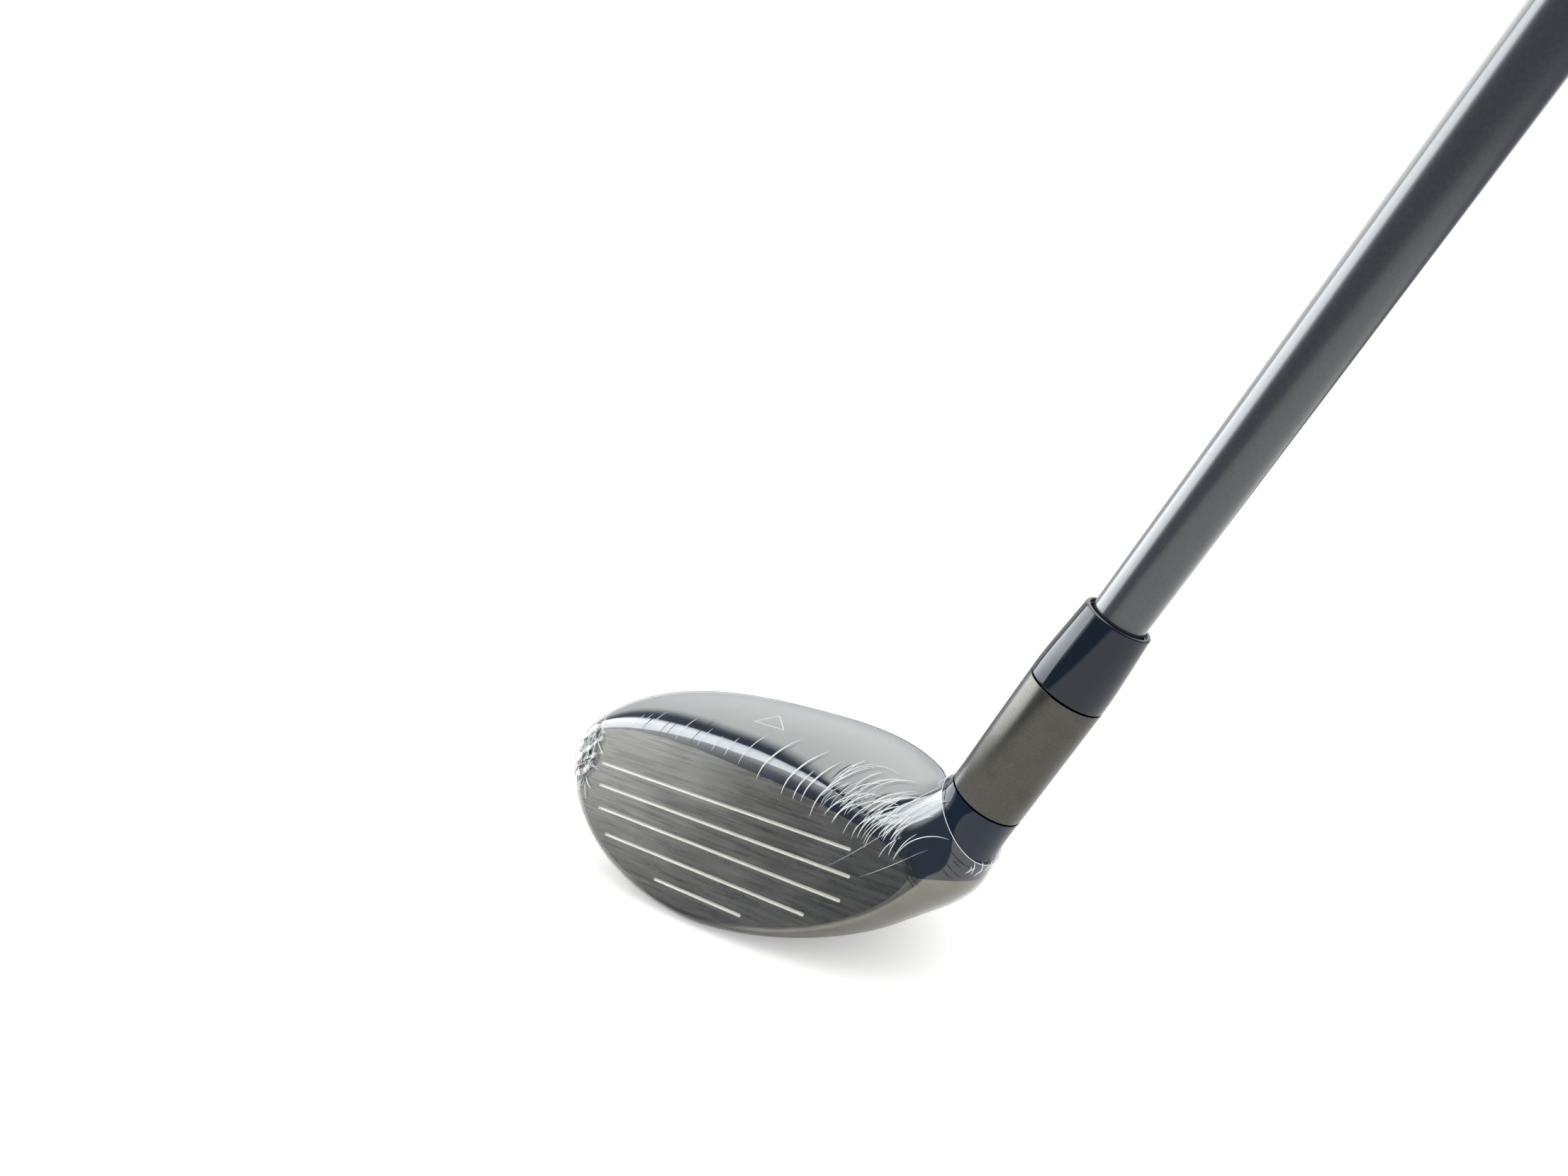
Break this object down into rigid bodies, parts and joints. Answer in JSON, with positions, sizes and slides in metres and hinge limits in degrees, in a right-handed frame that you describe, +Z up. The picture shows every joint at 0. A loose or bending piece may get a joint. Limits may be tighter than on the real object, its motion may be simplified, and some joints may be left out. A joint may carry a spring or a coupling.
{
  "type": "hybrid golf club",
  "caption": "Right-handed hybrid golf club: hollow steel head with grooved face, dark crown and sole badge, bare hosel, ferrule, tapered shaft, rubber grip and clear shrink film on the head.",
  "frame": {"origin": "point of the sole that rests on the ground, below the middle of the face and in the plane of the shaft axis", "axes": "+Z up at address, face towards -Y, toe towards -X, shaft leaning towards +X in the plane y = 0"},
  "size_m": [0.5982, 0.0679, 0.8854],
  "materials": {
    "head_steel": "satin brushed stainless casting",
    "crown_paint": "gloss blue-black lacquer",
    "face_steel": "brushed heel to toe",
    "badge": "dark anodised",
    "tungsten": "sintered, matt",
    "clear_film": "clear shrink film",
    "hosel_steel": "turned, lightly brushed",
    "cork": "pressed cork",
    "ferrule_plastic": "polished black",
    "brass": "turned",
    "shaft_lacquer": "charcoal lacquer over carbon fibre",
    "tape": "double-sided tape",
    "grip_rubber": "moulded rubber"
  },
  "bodies": {
    "root": {"head_body": "head_steel", "crown_shell": "crown_paint", "face_plate": "face_steel", "sole_badge": "badge", "tungsten_weight": "tungsten", "head_film": "clear_film", "hosel_sleeve": "hosel_steel", "hosel_plug": "cork", "ferrule": "ferrule_plastic", "tip_weight": "brass", "shaft": "shaft_lacquer", "grip_tape": "tape", "grip_sleeve": "grip_rubber", "grip_cap": "grip_rubber"}
  },
  "joints": []
}
